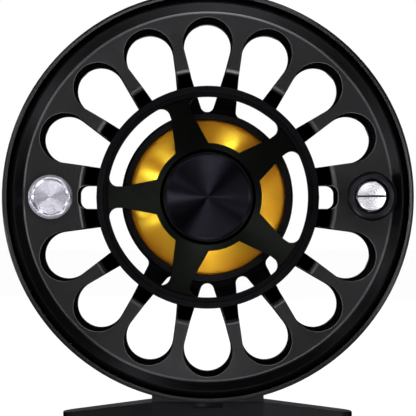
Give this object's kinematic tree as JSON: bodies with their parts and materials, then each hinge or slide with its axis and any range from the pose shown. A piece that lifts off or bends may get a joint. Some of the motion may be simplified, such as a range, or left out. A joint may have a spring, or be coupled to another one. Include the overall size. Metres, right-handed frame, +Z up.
{
  "type": "fly reel",
  "caption": "Large-arbor fly reel: perforated spool with crank handle and counterweight in an open full frame, disc drag with rear knob, and a flat rod foot.",
  "frame": {"origin": "centre of the flat underside of the rod foot", "axes": "+Y along the spool axis towards the drag knob, so the handle faces -Y; +Z up from the foot to the spool; X along the foot"},
  "size_m": [0.0888, 0.0609, 0.0934],
  "materials": {
    "black_anodised": "satin black anodised machined aluminium",
    "grey_anodised": "satin charcoal grey anodised machined aluminium",
    "gold_anodised": "gold anodised turned aluminium",
    "cap_anodised": "purple-black anodised turned aluminium",
    "bright_aluminium": "turned bright aluminium",
    "steel": "turned stainless steel",
    "screw_steel": "dark stainless screws",
    "spring_steel": "polished spring steel",
    "carbon": "woven carbon friction disc",
    "bronze": "oil-filled bronze bush",
    "black_rubber": "soft black rubber seal",
    "handle_black": "satin black turned handle"
  },
  "bodies": {
    "frame": {"frame_cage": "black_anodised", "frame_back_plate": "black_anodised", "frame_screws": "screw_steel", "reel_foot": "black_anodised", "foot_screws": "screw_steel", "spindle": "steel", "spindle_clip": "spring_steel", "spindle_nut": "steel", "bearing_inner_races": "steel", "drag_housing": "gold_anodised", "housing_screws": "screw_steel", "housing_seal": "black_rubber", "steel_washers": "steel", "click_ring": "steel", "knob_washer": "steel", "knob_screw": "steel"},
    "spool": {"spool_front_flange": "grey_anodised", "spool_arbor": "black_anodised", "spool_back_flange": "grey_anodised", "spool_star": "black_anodised", "spool_cap": "cap_anodised", "cap_oring": "black_rubber", "bearing_outer_races": "steel", "bearing_balls": "steel", "bearing_spacer": "steel", "clutch_shell": "steel", "clutch_rollers": "steel", "pawl_pin": "steel", "pawl_spring_post": "steel", "pawl_spring": "spring_steel", "counterweight": "bright_aluminium", "counterweight_screw": "screw_steel", "handle_post": "steel", "handle_washer": "steel", "handle_screw": "bright_aluminium"},
    "click_pawl": {"click_pawl": "steel"},
    "handle": {"handle_knob": "handle_black", "handle_bushes": "bronze"},
    "drag_rotor": {"drag_rotor": "steel", "rotor_bush": "bronze", "carbon_washers": "carbon"},
    "pressure_plate": {"pressure_plate": "steel", "belleville_springs": "spring_steel", "thrust_pins": "steel"},
    "drag_knob": {"drag_knob": "black_anodised", "knob_cam_ring": "steel", "detent_ball": "steel", "detent_spring": "spring_steel"}
  },
  "joints": [
    {"name": "spool_spin", "type": "hinge", "parent": "frame", "child": "spool", "pos_m": [0, 0, 0.0489], "axis": [0, 1, 0], "continuous": true},
    {"name": "handle_spin", "type": "hinge", "parent": "spool", "child": "handle", "pos_m": [0.03385, 0, 0.0489], "axis": [0, 1, 0], "continuous": true},
    {"name": "rotor_spin", "type": "hinge", "parent": "frame", "child": "drag_rotor", "pos_m": [0, 0, 0.0489], "axis": [0, 1, 0], "continuous": true},
    {"name": "pawl_rock", "type": "hinge", "parent": "spool", "child": "click_pawl", "pos_m": [0.011, 0, 0.05689], "axis": [0, 1, 0], "range_deg": [-10, 10], "stiffness_Nm_per_rad": 0.0005},
    {"name": "drag_knob_turn", "type": "hinge", "parent": "frame", "child": "drag_knob", "pos_m": [0, 0, 0.0489], "axis": [0, -1, 0], "range_deg": [0, 330]},
    {"name": "pressure_plate_push", "type": "slide", "parent": "frame", "child": "pressure_plate", "axis": [0, -1, 0], "range_m": [0, 0.00042]}
  ],
  "couplings": [
    {"joint": "rotor_spin", "follows": "spool_spin", "ratio": 1},
    {"joint": "pressure_plate_push", "follows": "drag_knob_turn", "m_per_rad": 0.000069449}
  ]
}
